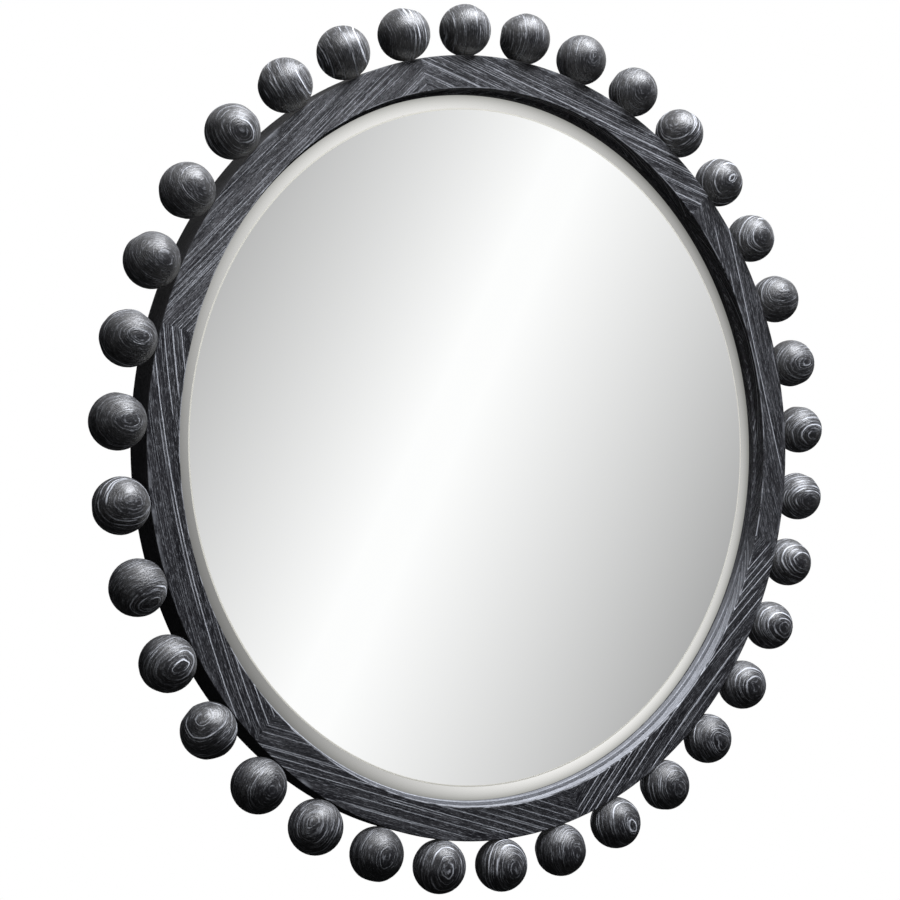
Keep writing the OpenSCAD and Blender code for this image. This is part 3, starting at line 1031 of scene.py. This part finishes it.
def black_cloth():
    finish = new_finish("black_cloth")
    spot = finish.node("ShaderNodeTexCoord").outputs["Object"]
    nap = finish.noise(spot, 60.0, 3.0)
    colour = finish.mix(nap, CLOTH_DARK, CLOTH_LIGHT)
    sharp = Num(finish, finish.node("ShaderNodeLightPath").outputs["Is Singular Ray"])
    return finish.coat(Base_Color=colour, Roughness=1.0, Specular_IOR_Level=0.0, Alpha=1.0 - sharp)


# Two opposite corners of each flag, in metres
FLAGS = {
    "flag_below": ((-3.0, -0.9, -0.85), (3.0, 3.5, -0.85)),
    "flag_left": ((-1.9, -0.4, -0.85), (-1.9, 2.6, 1.6)),
    "flag_right": ((2.4, -0.4, -0.85), (2.4, 2.6, 0.7)),
    "flag_back": ((-1.9, 2.6, -0.85), (2.4, 2.6, 1.9)),
}
cloth = black_cloth()
for name, corners in FLAGS.items():
    flag = flat_sheet(name, cloth, *corners)
    flag.visible_camera = False
    flag.visible_shadow = False
print("black flags:", len(FLAGS))

# %% [markdown]
# ## The card in front
#
# A mirror shows the room, so the room needs something to show: a large card in front of it, which
# nothing but reflections can see. The flat glass looks at two bright bands that lean. The bevel
# slopes, so it looks past them, at greys that change round the middle, and that is what sets it off
# from the flat. The card is shaded by a few sums of its own coordinates, and its light is linked to
# the glass alone, so that the dark wood keeps its black.

# %% Bands of light on the card
BAND_LEAN = 0.575
BAND_X = 3.243
BAND_RISE = 0.391
BAND_FALL = -0.3166
BAND_TOP = 1.055
BAND_RANGE = (0.40, 1.015)
SECOND_BAND_X = -3.4
SECOND_BAND_TOP = 0.97
SECOND_BAND_FALL = 0.33
SECOND_BAND_LEAST = 0.5


def main_band(finish, across):
    """The bright band that the picture's own view shows, which falls off to both sides."""
    sides = finish.math("MINIMUM", across * BAND_RISE, across * BAND_FALL) + BAND_TOP
    least, most = BAND_RANGE
    return finish.math("MAXIMUM", finish.math("MINIMUM", sides, most), least)


def second_band(finish, across):
    """A band further to the left, which a view from square on shows."""
    off = finish.math("ABSOLUTE", across - SECOND_BAND_X)
    return finish.math("MAXIMUM", SECOND_BAND_TOP - off * SECOND_BAND_FALL, SECOND_BAND_LEAST)


# %% Tone round the bands, for the bevel
CARD_MIDDLE = (3.61, 0.10)
CARD_RADIUS = 1.46
UPRIGHT_LOBES = -0.165
SLANTED_LOBES = 0.40
LEAN_OF_TONE = 0.089
MIDDLE_TONE = 0.605
NEVER_ZERO = 0.0001


def tone_outside(p, q, square, distance):
    """The grey at a place beside the bands: two lobes and a lean round the card's middle."""
    lobes = ((p * p - q * q) * UPRIGHT_LOBES - p * q * SLANTED_LOBES) / square
    return lobes + p / distance * LEAN_OF_TONE + MIDDLE_TONE


# %% The card that the mirror shows
# From where to where each tone gives way to the next
LEAVES_BANDS = (1.05, 1.6)
LEAVES_SECOND_BAND = (0.2, 0.95)
TURNS_WHITE = (3.0, 4.2)


def shaded_card():
    """Two leaning bright bands, a ring of greys round the first, and white at the card's edges."""
    finish = new_finish("shaded_card")
    x, _, z = finish.split(finish.node("ShaderNodeTexCoord").outputs["Object"])
    across = x - z * BAND_LEAN - BAND_X
    p = (x - CARD_MIDDLE[0]) / CARD_RADIUS
    q = (z - CARD_MIDDLE[1]) / CARD_RADIUS
    square = p * p + q * q + NEVER_ZERO
    distance = finish.math("SQRT", square)
    outside = tone_outside(p, q, square, distance)
    leave = finish.ease(distance, *LEAVES_BANDS)
    left = 1.0 - finish.ease(x, *LEAVES_SECOND_BAND)
    edge = finish.ease(distance, *TURNS_WHITE)
    tone = main_band(finish, across) * (1.0 - leave) + outside * leave
    tone = tone * (1.0 - left) + second_band(finish, across) * left
    tone = tone * (1.0 - edge) + edge
    grey = finish.node("ShaderNodeCombineColor", {}, {"Red": tone, "Green": tone, "Blue": tone})
    return finish.coat(Base_Color=BLACK, Specular_IOR_Level=0.0,
                       Emission_Color=grey.outputs[0], Emission_Strength=1.0)


card = flat_sheet("card", shaded_card(), (-9.0, -5.0, -6.5), (10.2, -5.0, 6.7))
card.visible_camera = False
card.visible_diffuse = False
card.visible_shadow = False
print("card:", [round(side, 2) for side in card.dimensions], "m")

# %% Light from the card for the glass alone
mirrors = bpy.data.collections.new("mirrors")
mirrors.objects.link(glass)
card.light_linking.receiver_collection = mirrors

# %% [markdown]
# ## The view transform
#
# Dressing must not make it larger. Colours are shown as they are written, with the Standard view
# transform.

# %% The view transform
bpy.context.scene.view_settings.view_transform = "Standard"
